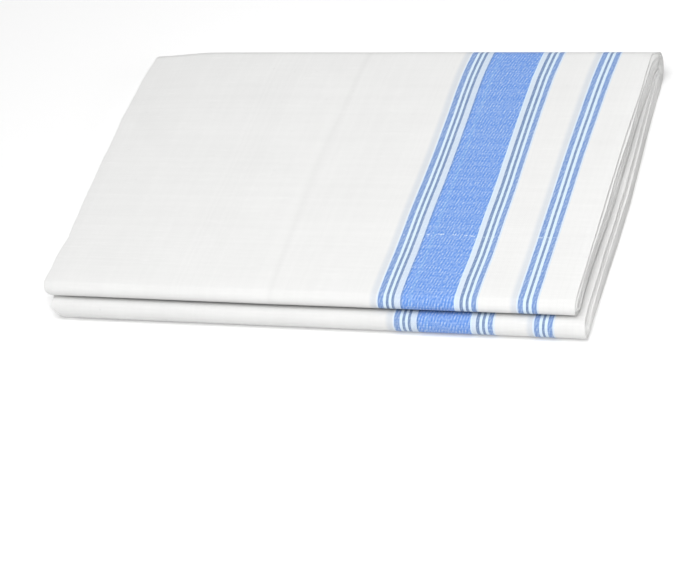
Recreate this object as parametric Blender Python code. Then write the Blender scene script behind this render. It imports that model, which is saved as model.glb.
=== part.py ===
"""Folded cotton dhoti lying flat.

One length of cloth is folded in four across its width, which makes a strip.
The strip is wound flat into a long roll of several turns, and the roll is
folded in half, so that its two ends lie one above the other at the front
and one big fold closes the back.  Looking from the side the turns are
nested C shapes, with a slit between the upper and the lower bundle.

Frame: +X runs along the folds towards the selvedge end, +Y from the front
folds to the back fold, +Z up.  The origin is the middle of the underside.
"""
import math

import bmesh
import bpy

MM = 0.001

# ---- driving sizes --------------------------------------------------------
LOOM_WIDTH = 1270.0 * MM        # the cloth from selvedge to selvedge
PLIES = 4                       # plies in one turn of the strip
FOLD_WIDTH = LOOM_WIDTH / PLIES
DEPTH = 207.0 * MM              # front of the lower fold to back of the back fold
HEIGHT = 22.5 * MM              # both bundles, pressed by their own weight
SLIT = 0.3 * MM                 # between the two bundles
LOWER_HEIGHT = 11.9 * MM        # the lower bundle alone
UPPER_SETBACK = 5.2 * MM        # how far the upper fold lies behind the lower one
NOSE = 5.9 * MM                 # length of the round part of a front fold
BACK_BULGE = 8.4 * MM           # length of the round part of the back fold
SLIT_END = 0.6 * MM             # round end of the slit inside the back fold
TURN_GAP = 0.3 * MM             # between neighbouring nodes
BACK_JOIN = math.degrees(math.asin(TURN_GAP / BACK_BULGE))   # same gap, as an angle

# ---- turns, as shares of half a bundle's height from outside to its middle --
UPPER_HEIGHT = HEIGHT - LOWER_HEIGHT - SLIT
GAP_SHARE = TURN_GAP / (UPPER_HEIGHT / 2)
WALL_SHARE = 0.21               # one turn, four plies: 1.1 mm above, 1.25 mm below
OUTER_TURN = (0.0, WALL_SHARE)
SECOND_TURN = (OUTER_TURN[1] + GAP_SHARE, OUTER_TURN[1] + GAP_SHARE + WALL_SHARE)
HIDDEN_FROM = SECOND_TURN[1] + GAP_SHARE
HIDDEN_TURNS = 3                # ridges from the hidden solid's skin to its middle,
                                # where the last one is one turn seen whole

# ---- stations round a turn -------------------------------------------------
ARM_STEPS = 8
NOSE_STEPS = 8
BACK_STEPS = 8
SLIT_STEPS = 4

# ---- places across the width, as shares from the left fold to the selvedge --
ACROSS = (0.0, 0.015, 0.05, 0.12, 0.24, 0.38, 0.45, 0.52, 0.68, 0.84, 0.96, 1.0)

# The ends of the bundles: height as a share of the bundle's own height, how far
# the left fold is set in, and how far the selvedge end reaches past FOLD_WIDTH.
#             share  left_in      right_out
LOWER_ENDS = ((0.00, 7.4 * MM, 0.9 * MM),
              (0.15, 6.2 * MM, 1.5 * MM),
              (0.50, 3.9 * MM, 1.5 * MM),
              (1.00, 2.6 * MM, 1.4 * MM))
UPPER_ENDS = ((0.00, 4.4 * MM, 0.1 * MM),
              (0.35, 1.8 * MM, -0.9 * MM),
              (0.70, 0.4 * MM, -1.8 * MM),
              (1.00, 0.0 * MM, -2.1 * MM))

# The selvedge end of a turn, from its outer to its inner face: one selvedge,
# the other selvedge below it standing out, then the closed fold of two plies.
#                through  out
SELVEDGE_LIP = ((0.00, -0.20 * MM),
                (0.10, 0.00 * MM),
                (0.24, 0.00 * MM),
                (0.30, 1.10 * MM),
                (0.48, 1.15 * MM),
                (0.54, -0.35 * MM),
                (0.70, 0.25 * MM),
                (0.90, 0.20 * MM),
                (1.00, -0.20 * MM))
# The left end of a turn is one closed fold of four plies.
#            through  in
LEFT_LIP = ((0.00, 0.55 * MM),
            (0.20, 0.12 * MM),
            (0.50, 0.00 * MM),
            (0.80, 0.12 * MM),
            (1.00, 0.55 * MM))
SECOND_OUT = 0.35 * MM          # the second turn stands out past the first
RIDGE_DROP = 0.8 * MM           # depth of the grooves between hidden turns
RIDGE_ROUND = 0.2               # share of a ridge taken by each rounded shoulder

# ---- how the packet has settled ---------------------------------------------
BACK_LEFT_REACH = 42.0 * MM     # length of the pinched corner along the back
BACK_LEFT_PULL = 2.2 * MM       # how far that corner is pulled forward
BACK_LEFT_SINK = 1.3 * MM       # how far it sinks
LEFT_TAPER_FROM = 0.66          # the left folds draw in from here to the back
LEFT_TAPER = 2.3 * MM
RIGHT_TAPER = 1.6 * MM          # the lower selvedge end draws in at the back
BACK_OUT_FROM = 0.90            # the upper selvedge end fans out from here to the back
BACK_OUT = 3.6 * MM             # at the top; nothing at the slit
TOP_CROWN = 0.5 * MM            # the top swells a little between its edges
FRONT_BOW = 0.6 * MM            # the upper fold bows forward between its ends
FRONT_BOW_SHARE = 0.3           # share of the depth over which it dies away

# Soft troughs and swells that run from front to back over the top.
#                across_mm     half_width   height
TOP_WAVES = ((62.0 * MM, 34.0 * MM, 0.25 * MM),
             (142.0 * MM, 16.0 * MM, -0.40 * MM),
             (186.0 * MM, 26.0 * MM, 0.22 * MM),
             (252.0 * MM, 22.0 * MM, -0.20 * MM),
             (290.0 * MM, 16.0 * MM, 0.15 * MM))

REACH_LEFT = 0.0
REACH_RIGHT = (FOLD_WIDTH + SECOND_OUT + max(row[2] for row in LOWER_ENDS)
               + max(row[1] for row in SELVEDGE_LIP))
MIDDLE_X = (REACH_LEFT + REACH_RIGHT) / 2
MIDDLE_Y = DEPTH / 2

# ---- colours ----------------------------------------------------------------
WHITE_COTTON = (0.86, 0.86, 0.85, 1.0)
SHADED_COTTON = (0.80, 0.80, 0.79, 1.0)
INNER_COTTON = (0.74, 0.74, 0.73, 1.0)
FOLD_COTTON = (0.84, 0.85, 0.86, 1.0)
OUTER_ROUGHNESS = 0.9
INNER_ROUGHNESS = 0.95
CREASE_ANGLE = math.radians(40)  # bends sharper than this are shaded as creases


def blend(start, end, share):
    return start + (end - start) * share


def smooth_step(value):
    value = min(max(value, 0.0), 1.0)
    return value * value * (3 - 2 * value)


def from_table(table, share, column):
    """Reads one column of a table whose first column rises from 0 to 1."""
    for low, high in zip(table, table[1:]):
        if share <= high[0]:
            place = (share - low[0]) / (high[0] - low[0])
            return blend(low[column], high[column], place)
    return table[-1][column]


# ---- the side view: a point on a turn at a given share of depth ---------------

def arm_point(upper, outer_side, along, depth_share):
    """A point on the flat run of a bundle; along is 0 at the front fold."""
    if upper:
        skin_in, skin_out = HEIGHT - UPPER_HEIGHT, HEIGHT
        front = UPPER_SETBACK + NOSE
    else:
        skin_in, skin_out = LOWER_HEIGHT, 0.0
        front = NOSE
    through = 1 - depth_share / 2 if outer_side else depth_share / 2
    y = blend(front, DEPTH - BACK_BULGE, along)
    return y, blend(skin_in, skin_out, through)


def nose_point(upper, angle, depth_share):
    """A point round a front fold; angle 90 is its top, 180 its tip, 270 its foot."""
    if upper:
        foot, height, tip = HEIGHT - UPPER_HEIGHT, UPPER_HEIGHT, UPPER_SETBACK
    else:
        foot, height, tip = 0.0, LOWER_HEIGHT, 0.0
    left = 1 - depth_share
    turn = math.radians(angle)
    y = tip + NOSE + NOSE * left * math.cos(turn)
    return y, foot + height / 2 + height / 2 * left * math.sin(turn)


def bend_point(outer_side, angle, depth_share):
    """A point round the back fold; angle 90 is its top, -90 its foot."""
    through = 1 - depth_share / 2 if outer_side else depth_share / 2
    slit_middle = LOWER_HEIGHT + SLIT / 2
    reach = blend(SLIT_END, BACK_BULGE, through)
    half_height = blend(SLIT / 2, HEIGHT / 2, through)
    middle = blend(slit_middle, HEIGHT / 2, through)
    turn = math.radians(angle)
    return DEPTH - BACK_BULGE + reach * math.cos(turn), middle + half_height * math.sin(turn)


def stretch(name, depth_share):
    """The stations of one named stretch of a turn, each (y, z, upper)."""
    if name == "top":
        return [arm_point(True, True, step / ARM_STEPS, depth_share) + (True,)
                for step in range(ARM_STEPS + 1)]
    if name == "back":
        return [bend_point(True, 90 - 180 * step / BACK_STEPS, depth_share)
                + (step < BACK_STEPS / 2,) for step in range(BACK_STEPS + 1)]
    if name == "back_apart":
        reach = 90 - BACK_JOIN
        return [bend_point(True, reach - 2 * reach * step / BACK_STEPS, depth_share)
                + (step < BACK_STEPS / 2,) for step in range(BACK_STEPS + 1)]
    if name == "under":
        return [arm_point(False, True, 1 - step / ARM_STEPS, depth_share) + (False,)
                for step in range(ARM_STEPS + 1)]
    if name == "lower_nose":
        return [nose_point(False, 270 - 180 * step / NOSE_STEPS, depth_share) + (False,)
                for step in range(NOSE_STEPS + 1)]
    if name == "slit_floor":
        return [arm_point(False, False, step / ARM_STEPS, depth_share) + (False,)
                for step in range(ARM_STEPS + 1)]
    if name == "slit_end":
        return [bend_point(False, -90 + 180 * step / SLIT_STEPS, depth_share)
                + (step > SLIT_STEPS / 2,) for step in range(SLIT_STEPS + 1)]
    if name == "slit_roof":
        return [arm_point(True, False, 1 - step / ARM_STEPS, depth_share) + (True,)
                for step in range(ARM_STEPS + 1)]
    return [nose_point(True, 270 - 180 * step / NOSE_STEPS, depth_share) + (True,)
            for step in range(NOSE_STEPS + 1)]


def run(names, depth_share):
    """Joins neighbouring stretches, which share their end stations."""
    stations = []
    for name in names:
        part = stretch(name, depth_share)
        stations += part[1:] if stations else part
    return stations


# ---- the ends and the settled form -------------------------------------------

def end_reach(y, z, upper):
    """Where the left fold and the selvedge end lie at this height and depth."""
    if upper:
        share = (z - (HEIGHT - UPPER_HEIGHT)) / UPPER_HEIGHT
        table = UPPER_ENDS
    else:
        share = z / LOWER_HEIGHT
        table = LOWER_ENDS
    share = min(max(share, 0.0), 1.0)
    back = smooth_step((y / DEPTH - LEFT_TAPER_FROM) / (1 - LEFT_TAPER_FROM))
    left = from_table(table, share, 1) + LEFT_TAPER * back
    right = FOLD_WIDTH + from_table(table, share, 2)
    if upper:
        fan = smooth_step((y / DEPTH - BACK_OUT_FROM) / (1 - BACK_OUT_FROM))
        right += BACK_OUT * share * fan
    else:
        right -= RIGHT_TAPER * back
    return left, right


def settle(x, y, z, upper):
    """Moves a point of the neat packet to where the cloth has settled."""
    across = math.sin(math.pi * min(max(x / FOLD_WIDTH, 0.0), 1.0))
    along = math.sin(math.pi * min(max(y / DEPTH, 0.0), 1.0))
    swell = TOP_CROWN * across
    for place, half_width, height in TOP_WAVES:
        swell += height * math.exp(-((x - place) / half_width) ** 2)
    corner = smooth_step(1 - x / BACK_LEFT_REACH) * smooth_step(2 * y / DEPTH - 1)
    height = 1 + (swell * math.sqrt(along) - BACK_LEFT_SINK * corner) / HEIGHT
    y -= BACK_LEFT_PULL * corner
    if upper:
        y -= FRONT_BOW * across * smooth_step(1 - y / (FRONT_BOW_SHARE * DEPTH))
    return x - MIDDLE_X, y - MIDDLE_Y, z * height


# ---- solids -------------------------------------------------------------------

def turn_ring(outer, inner, out):
    """One closed ring of points across the width, for a station of a turn."""
    left, right = end_reach(outer[0], outer[1], outer[2])
    right += out
    first = left + LEFT_LIP[0][1]
    last = right + SELVEDGE_LIP[0][1]
    points = [(blend(first, last, share), 0.0) for share in ACROSS]
    points += [(right + lip, through) for through, lip in SELVEDGE_LIP[1:-1]]
    points += [(blend(first, last, share), 1.0) for share in reversed(ACROSS)]
    points += [(left + lip, through) for through, lip in reversed(LEFT_LIP[1:-1])]
    return [settle(x, blend(outer[0], inner[0], through),
                   blend(outer[1], inner[1], through), outer[2])
            for x, through in points]


def new_loop(mesh, points):
    """Adds a closed loop of edges and returns the edges."""
    corners = [mesh.verts.new(point) for point in points]
    return [mesh.edges.new((corners[i - 1], corners[i])) for i in range(len(corners))]


def loop_corners(edges):
    """The loop's corners in order, as new_loop made them."""
    return [edge.verts[1] for edge in edges]


def quad_strip(mesh, first, second):
    """Faces between two closed loops whose corners match."""
    a, b = loop_corners(first), loop_corners(second)
    for i in range(len(a)):
        mesh.faces.new((a[i - 1], a[i], b[i], b[i - 1]))


def close_ring(mesh, edges):
    """Closes one end of a wall with faces from its outer to its inner side."""
    corners = loop_corners(edges)
    count = len(ACROSS)
    lip_end = count + len(SELVEDGE_LIP) - 2
    outer = corners[:count]
    inner = corners[lip_end:lip_end + count][::-1]
    for i in range(count - 1):
        mesh.faces.new((outer[i], outer[i + 1], inner[i + 1], inner[i]))
    mesh.faces.new(corners[count - 1:lip_end + 1])
    mesh.faces.new(corners[lip_end + count - 1:] + corners[:1])


def finish(name, mesh, colour, roughness):
    """Makes the object, its own material and its smooth shading."""
    bmesh.ops.recalc_face_normals(mesh, faces=mesh.faces)
    data = bpy.data.meshes.new(name)
    mesh.to_mesh(data)
    mesh.free()
    data.shade_smooth()
    data.set_sharp_from_angle(angle=CREASE_ANGLE)
    finish_material = bpy.data.materials.new(name + "_cotton")
    finish_material.use_nodes = True
    shader = finish_material.node_tree.nodes["Principled BSDF"]
    shader.inputs["Base Color"].default_value = colour
    shader.inputs["Roughness"].default_value = roughness
    shader.inputs["Metallic"].default_value = 0.0
    data.materials.append(finish_material)
    item = bpy.data.objects.new(name, data)
    bpy.context.collection.objects.link(item)
    return item


def turn_wall(name, names, shares, out, colour, roughness, skipped=0):
    """A wall of cloth along the named stretches, with closed ends.

    The first stations may be skipped, to part the wall from the one before it.
    """
    outer = run(names, shares[0])[skipped:]
    inner = run(names, shares[1])[skipped:]
    mesh = bmesh.new()
    rings = [new_loop(mesh, turn_ring(o, i, out)) for o, i in zip(outer, inner)]
    for before, after in zip(rings, rings[1:]):
        quad_strip(mesh, before, after)
    close_ring(mesh, rings[0])
    close_ring(mesh, rings[-1])
    return finish(name, mesh, colour, roughness)


ROUND_THE_TURN = ("top", "back", "under", "lower_nose", "slit_floor", "slit_end",
                  "slit_roof", "upper_nose")


def end_loop(mesh, depth_share, inset, right_side):
    """One closed loop round a turn, on the left or the selvedge end."""
    points = []
    for y, z, upper in run(ROUND_THE_TURN, depth_share)[:-1]:
        left, right = end_reach(y, z, upper)
        x = right - inset if right_side else left + inset
        points.append(settle(x, y, z, upper))
    return new_loop(mesh, points)


def ridge_rows():
    """Depth share and inset of each loop from the hidden solid's skin inwards."""
    pitch = (1 - HIDDEN_FROM) / (HIDDEN_TURNS - 0.5)
    rows = []
    for turn in range(HIDDEN_TURNS):
        start = HIDDEN_FROM + pitch * turn
        rows.append((start, RIDGE_DROP))
        rows.append((start + pitch * RIDGE_ROUND, 0.0))
        if turn < HIDDEN_TURNS - 1:
            rows.append((start + pitch * (1 - RIDGE_ROUND), 0.0))
    return rows


def close_middle(mesh, edges):
    """Joins the outer run of the innermost loop to its inner run."""
    corners = loop_corners(edges)
    outer_end = 2 * ARM_STEPS + BACK_STEPS
    inner_start = outer_end + NOSE_STEPS
    inner_end = inner_start + 2 * ARM_STEPS + SLIT_STEPS
    outer = corners[:outer_end + 1]
    inner = corners[inner_start:inner_end + 1][::-1]
    mesh.faces.new(corners[inner_end:] + corners[:1])
    mesh.faces.new(corners[outer_end:inner_start + 1])
    top_out, top_in = outer[:ARM_STEPS + 1], inner[:ARM_STEPS + 1]
    low_out, low_in = outer[-ARM_STEPS - 1:], inner[-ARM_STEPS - 1:]
    for near, far in ((top_out, top_in), (low_out, low_in)):
        for i in range(ARM_STEPS):
            mesh.faces.new((near[i], near[i + 1], far[i + 1], far[i]))
    back_out = outer[ARM_STEPS:ARM_STEPS + BACK_STEPS + 1]
    back_in = inner[ARM_STEPS:ARM_STEPS + SLIT_STEPS + 1]
    ratio = BACK_STEPS // SLIT_STEPS
    for i in range(SLIT_STEPS):
        arc = back_out[i * ratio:(i + 1) * ratio + 1]
        mesh.faces.new(arc + [back_in[i + 1], back_in[i]])


def hidden_layers():
    """All the turns that do not show, as one solid with ridged ends."""
    mesh = bmesh.new()
    rows = ridge_rows()
    left = [end_loop(mesh, share, inset, False) for share, inset in rows]
    right = [end_loop(mesh, share, inset, True) for share, inset in rows]
    skin = []
    for place in ACROSS[1:-1]:
        points = []
        for y, z, upper in run(ROUND_THE_TURN, HIDDEN_FROM)[:-1]:
            reach = end_reach(y, z, upper)
            x = blend(reach[0] + RIDGE_DROP, reach[1] - RIDGE_DROP, place)
            points.append(settle(x, y, z, upper))
        skin.append(new_loop(mesh, points))
    chain = left[::-1] + skin + right
    for before, after in zip(chain, chain[1:]):
        quad_strip(mesh, before, after)
    close_middle(mesh, left[-1])
    close_middle(mesh, right[-1])
    return finish("hidden_layers", mesh, INNER_COTTON, INNER_ROUGHNESS)


for old in list(bpy.data.objects):
    bpy.data.objects.remove(old)

# The outermost turn, one node for each stretch that shows.
turn_wall("top_stretch", ("slit_end", "slit_roof", "upper_nose", "top"), OUTER_TURN,
          0.0, WHITE_COTTON, OUTER_ROUGHNESS, skipped=1)
turn_wall("back_fold", ("back_apart",), OUTER_TURN, 0.0, FOLD_COTTON, OUTER_ROUGHNESS)
turn_wall("under_stretch", ("under", "lower_nose", "slit_floor"), OUTER_TURN,
          0.0, SHADED_COTTON, OUTER_ROUGHNESS)

# The next turn in, which stands out past the first.
turn_wall("second_turn_upper", ("slit_end", "slit_roof", "upper_nose", "top", "back_apart"),
          SECOND_TURN, SECOND_OUT, INNER_COTTON, INNER_ROUGHNESS, skipped=1)
turn_wall("second_turn_lower", ("under", "lower_nose", "slit_floor"), SECOND_TURN,
          SECOND_OUT, INNER_COTTON, INNER_ROUGHNESS)
hidden_layers()
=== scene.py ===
"""Looks of the folded cotton dhoti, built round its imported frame.

The cloth is folded in four across its width.  That strip is wound flat into a
long roll, and the roll is folded in half.  Every turn of the roll is one closed
shell here: four plies thick, with the two selvedges and the closed fold apart
at the right-hand end, and one closed fold at the left.  Each shell runs round
the upper bundle, the big fold at the back and the lower bundle.
"""
import math

import bpy
from mathutils import Matrix, Vector, noise


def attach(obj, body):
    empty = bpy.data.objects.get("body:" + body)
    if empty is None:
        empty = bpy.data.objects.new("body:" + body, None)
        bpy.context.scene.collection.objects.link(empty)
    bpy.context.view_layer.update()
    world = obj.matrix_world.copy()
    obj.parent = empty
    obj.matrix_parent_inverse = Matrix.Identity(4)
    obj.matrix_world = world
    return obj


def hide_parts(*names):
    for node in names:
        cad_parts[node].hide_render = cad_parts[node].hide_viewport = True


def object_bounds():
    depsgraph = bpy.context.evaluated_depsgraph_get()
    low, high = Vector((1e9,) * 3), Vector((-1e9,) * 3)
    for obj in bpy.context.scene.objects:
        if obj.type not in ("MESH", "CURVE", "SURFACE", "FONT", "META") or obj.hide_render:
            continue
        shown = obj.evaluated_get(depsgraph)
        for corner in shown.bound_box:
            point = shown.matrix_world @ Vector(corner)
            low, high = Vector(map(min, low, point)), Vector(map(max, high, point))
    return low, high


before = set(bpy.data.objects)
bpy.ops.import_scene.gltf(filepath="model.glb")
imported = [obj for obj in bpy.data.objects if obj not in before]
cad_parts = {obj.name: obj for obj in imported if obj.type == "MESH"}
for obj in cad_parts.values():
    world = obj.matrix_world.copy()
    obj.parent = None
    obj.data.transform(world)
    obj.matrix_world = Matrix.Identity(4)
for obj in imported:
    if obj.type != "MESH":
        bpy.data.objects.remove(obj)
CAD_LOW, CAD_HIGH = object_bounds()

MM = 0.001


def metres(*lengths):
    """Lengths in millimetres, made metres."""
    return tuple(length * MM for length in lengths)


def metre_rows(*rows):
    """Rows of lengths in millimetres, made metres."""
    return tuple(metres(*row) for row in rows)


def share_rows(*rows):
    """Rows of a share of the way and lengths in millimetres there, made metres."""
    return tuple((share, *metres(*lengths)) for share, *lengths in rows)


# ---- sizes of the packet ----
FOLD_WIDTH = 317.5 * MM          # a quarter of the cloth's 1.27 m width
DEPTH = CAD_HIGH.y - CAD_LOW.y   # front of the lower fold to back of the back fold
HEIGHT = 22.5 * MM               # both bundles
SLIT = 0.5 * MM                  # between the bundles
LOWER_HEIGHT = 11.8 * MM
UPPER_HEIGHT = HEIGHT - LOWER_HEIGHT - SLIT
UPPER_SETBACK = 6.1 * MM         # the upper fold lies behind the lower one
NOSE = 5.9 * MM                  # length of the round part of a front fold
BACK_BULGE = 8.4 * MM            # length of the round part of the back fold
SLIT_END = 0.6 * MM              # length of the round part of the slit's back end
MIDDLE_X = CAD_HIGH.x            # the left fold lies at x = 0 in the numbers below
MIDDLE_Y = CAD_HIGH.y            # and the lower front fold at y = 0

# ---- turns ----
TURNS = 4                        # closed turns, round one middle turn
TURN_SHARE = 1 / (TURNS + 0.5)   # of half a bundle's height
TURN_GAP_SHARE = 0.006           # left free on either side of a turn
PLY = 0.25                       # of a turn's thickness
PLY_GAP = 0.016                  # half the gap between two plies
# Through a turn, the faces of the first selvedge, the second and the closed fold
# at their tips, where the plies lie flush and where they spread apart.
FLUSH_PLIES = ((0.0, 0.23), (0.27, 0.48), (0.52, 1.0))
SPREAD_PLIES = ((-0.26, 0.0), (0.66, 0.94), (0.86, 1.0))
SPREAD_RECESS = 3.5 * MM         # how far in the closed fold lies where they spread
EDGE_ROUND = 0.10 * MM           # rounding of a selvedge
CLOSED_FOLD_ROUND = (0.32 * MM, 0.10 * MM)  # of the closed fold, flush and spread
LEFT_FOLD_ROUND = 0.55 * MM      # rounding of the left fold of four plies
GROOVE = 9.0 * MM                # how deep the plies lie apart at the selvedge end
SHARP_ANGLE = math.radians(60)   # where two faces meet more sharply, it is shaded so

# ---- shade painted into the cloth's colour ----
# Painted shade: how bright the cloth's colour is made at its edges and inside its folds, against
# the open cloth.
EDGE_PAINTED_SHADE = 0.90
GROOVE_PAINTED_SHADE = 0.55
FRONT_LIGHT = 0.9                # more light reaches both of them next to the front folds
FRONT_LIGHT_SHARE = 0.30         # of the depth, over which it fades
# Painted shade inside the slit between the bundles.
SLIT_PAINTED_SHADE = 0.20
SLIT_OPEN_SHARE = 0.02           # of the width at either end, where the slit is open
# Painted shade on the lower bundle.
LOWER_FOLD_PAINTED_SHADE = 0.93
BEND_PAINTED_SHADE = 0.86                # painted shade at the selvedge end of the back fold
BEND_END = 3.0 * MM              # how far in from that end
LEDGE_PAINTED_SHADE = 0.92               # painted shade where the lower bundle reaches past the upper one
LEDGE = 7.0 * MM                 # how far in from the selvedge end that goes
# Painted shade up the upper front fold from its underside, back along the slit's floor
# from its front, and up the lower front fold from its underside.
UPPER_NOSE_PAINTED_SHADE = ((0.0, 0.20), (0.26, 0.30), (0.33, 0.50), (0.42, 0.80), (0.50, 0.93),
                    (0.60, 1.0), (1.0, 1.0))
SLIT_FLOOR_PAINTED_SHADE = ((0.0, 0.93), (0.008, 0.92), (0.012, 0.72), (0.016, 0.15), (1.0, 0.15))
LOWER_NOSE_PAINTED_SHADE = ((0.0, 0.60), (0.24, 0.64), (0.32, 0.76), (0.42, 0.89), (0.55, 0.96),
                    (0.75, 0.97), (1.0, 0.93))

# ---- how fine the mesh is ----
ARM_STEPS = 96                   # rings along a bundle
NOSE_STEPS = 24                  # round a front fold
BACK_STEPS = 36                  # round the back fold
SLIT_STEPS = 12                  # and round the slit's back end
FLOOR_CROWDING = 1.4             # rings of the slit's floor lie closer in front
ACROSS_SHOWN = 46                # faces across a surface that shows
ACROSS_HIDDEN = 12               # and across one that doesn't
CREASE_ZONE = (132.0 * MM, 149.0 * MM)  # where the crease runs and faces are narrower
CREASE_FACES = 16
SELVEDGE_STEPS = 4               # faces round a selvedge
CLOSED_FOLD_STEPS = 6
LEFT_FOLD_STEPS = 9

# ---- where the two ends lie ----
# How far the left fold of a bundle is set in, at shares of the bundle's height.
LOWER_LEFT_IN = share_rows((0.00, 10.0), (0.15, 9.2), (0.35, 7.8), (0.60, 5.2),
                           (0.85, 2.0), (1.00, 2.2))
UPPER_LEFT_IN = share_rows((0.00, 6.2), (0.20, 4.2), (0.40, 1.9), (0.65, 0.4),
                           (1.00, 0.0))
# How much further in or out the left fold of the upper bundle wanders, at shares
# of the depth.
LEFT_WANDER = share_rows((0.00, -0.7), (0.06, -1.4), (0.10, -0.5), (0.14, -0.8),
                         (0.18, 0.1), (0.22, 1.3), (0.26, 0.7), (0.30, 0.9),
                         (0.37, 0.2), (0.45, 0.0), (0.53, -0.6), (0.57, -0.2),
                         (0.66, -0.6), (0.70, -1.1), (0.74, -0.7), (0.82, -1.0),
                         (0.87, -1.7), (0.91, -1.4), (0.95, -0.4), (1.00, 0.0))
# How far the selvedge end reaches past FOLD_WIDTH, at shares of the depth from the
# front: at the bottom of a bundle, and at its top.
LOWER_RIGHT = share_rows((0.00, 2.2, 2.6), (0.03, 2.1, 2.1), (0.07, 1.9, 1.6),
                         (0.18, 2.1, 1.4), (0.25, 2.1, 1.5), (0.36, 2.7, 2.1),
                         (0.50, 2.7, 2.2), (0.69, 1.4, 1.2), (0.82, 1.0, 0.4),
                         (0.90, 0.9, 0.3), (1.00, 0.7, 0.3))
UPPER_RIGHT = share_rows((0.00, -3.0, -2.1), (0.18, -2.8, -2.1), (0.36, -1.3, -2.1),
                         (0.48, -1.0, -2.1), (0.59, -1.1, -2.1), (0.68, -1.3, -1.8),
                         (0.78, -1.2, -1.4), (0.88, -0.6, -1.3), (1.00, -0.4, -1.2))
# How far it reaches past FOLD_WIDTH round the back fold, at shares of the height.
BEND_RIGHT = share_rows((0.00, 0.5), (0.15, 1.0), (0.33, 1.5), (0.50, 1.8),
                        (0.75, 2.2), (0.85, 2.6), (0.93, 2.3), (1.00, -1.2))
BEND_FROM = 0.93                 # shares of the depth between which the selvedge end
BEND_TO = 0.985                  # of a bundle turns into that of the back fold

# How far each turn stands out at the selvedge end, on the top of the upper
# bundle, along the slit's roof and floor and under the lower bundle.
#                      top   roof  floor  under
TURN_OUT = metre_rows((0.0, 0.0, 0.0, -0.1),
                      (-0.3, -0.1, -0.5, 0.1),
                      (-0.1, 0.3, -0.3, 0.4),
                      (0.1, 0.0, 1.1, 0.6),
                      (0.2, -0.1, 0.9, 0.8))
# How far each turn's plies spread apart there, from 0 to 1.
TURN_SPREAD = ((0.2, 0.2, 0.2, 0.2),
               (0.15, 0.1, 0.4, 0.1),
               (0.1, 0.2, 0.2, 0.15),
               (0.1, 0.1, 0.3, 0.5),
               (0.1, 0.1, 0.1, 0.1))
SPREAD_FADE_FROM = 0.66          # the plies lie flush again towards the back fold
SPREAD_FADE_TO = 0.92
OUT_FADE = 0.7                   # of what stands out, the share that goes there too
# How far the second selvedge and the closed fold stand out past the first selvedge.
#                        top  roof  floor  under
SECOND_OUT = metre_rows((0.0, 0.1, -0.1, 0.9),
                        (1.3, 0.2, -0.3, 0.3),
                        (-0.2, 0.2, 0.3, -0.2),
                        (-0.2, 0.0, -0.2, 0.2),
                        (0.1, -0.2, 0.1, 0.1))
CLOSED_OUT = metre_rows((-0.1, 0.1, -0.4, 0.1),
                        (0.8, -0.1, -0.2, 0.3),
                        (0.2, 0.3, 0.1, 0.2),
                        (0.1, 0.2, -0.3, -0.1),
                        (0.2, 0.1, 0.1, 0.2))
# How much further the second selvedge stands out round the front folds.
NOSE_FLARE = metres(-0.8, -0.3, 0.4, 0.2, 0.0)
NOSE_FLARE_REACH = 0.3           # of an arm's length
# How far each turn's left fold is set in past the first one.
TURN_LEFT_IN = metres(0.0, 0.35, -0.15, 0.5, 0.2)
EDGE_WANDER = 0.22 * MM          # slow wander of every edge along the cloth
WANDER_PITCH = 31 * MM           # at the selvedge end
LEFT_FOLD_PITCH = 40 * MM        # and at the left fold
EDGE_FRAY = 0.05 * MM            # quick wander
FRAY_PITCH = 4.5 * MM
SEEDS_PER_TURN = 5               # each edge of a turn wanders by a seed of its own
LEFT_FOLD_SEED = 4
FRAY_SEED = 50
SEED_STEPS = (7.31, 1.7)         # from one seed to the next, in the field of noise

# ---- how the packet has settled ----
BACK_LEFT_REACH = 42.0 * MM      # how far in from the left the back corner has sunk
BACK_LEFT_PULL = 2.2 * MM        # how far forward it is pulled
BACK_LEFT_SINK = 1.3 * MM        # and how far it is pressed down
LEFT_TAPER_FROM = 0.66           # behind this share of the depth the left folds are set
LEFT_TAPER = 2.3 * MM            # in more and more, by this much at the back
TOP_CROWN = 0.5 * MM             # the top is higher in the middle of the width
FRONT_BOW = 0.6 * MM             # the upper front fold bows forward there
FRONT_BOW_SHARE = 0.3            # of the depth, over which the bow straightens
END_RIPPLE = 0.14 * MM           # waviness of the layers at both ends
END_RIPPLE_REACH = 14 * MM       # how far in from an end it goes
END_RIPPLE_PITCH = (21 * MM, 5 * MM, 90 * MM)  # along depth, height and width
PUCKER = 0.05 * MM               # faint unevenness all over the cloth
PUCKER_PITCH = (17 * MM, 13 * MM)
PUCKER_SEED = 0.5
BUCKLE = 0.10 * MM               # a slower unevenness
BUCKLE_PITCH = (48 * MM, 60 * MM)
BUCKLE_SEED = 4.5

# Soft troughs and swells that run from front to back over the top.
#                       place  half_width  height
TOP_WAVES = metre_rows((62.0, 34.0, 0.25),
                       (142.0, 15.0, -0.30),
                       (186.0, 26.0, 0.22),
                       (252.0, 22.0, -0.20),
                       (290.0, 16.0, 0.15))
# One narrow crease runs there too, in a curve from its place in front, past a point
# that pulls on its middle, to its place behind.
CREASE_ROUTE = (141.5 * MM, 133.8 * MM, 144.2 * MM)
CREASE_HALF_WIDTH = 2.0 * MM
CREASE_DEPTH = 0.16 * MM
CREASE_PAINTED_SHADE = 0.032             # painted shade on the cloth at its bottom
# Behind the upper front fold the top droops: distance behind it, height.
FRONT_DROOP = metre_rows((0.0, -0.90), (5.0, -0.68), (10.0, -0.46), (15.0, -0.34),
                         (20.0, -0.32), (32.0, -0.17), (55.0, 0.0), (1000.0, 0.0))

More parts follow.
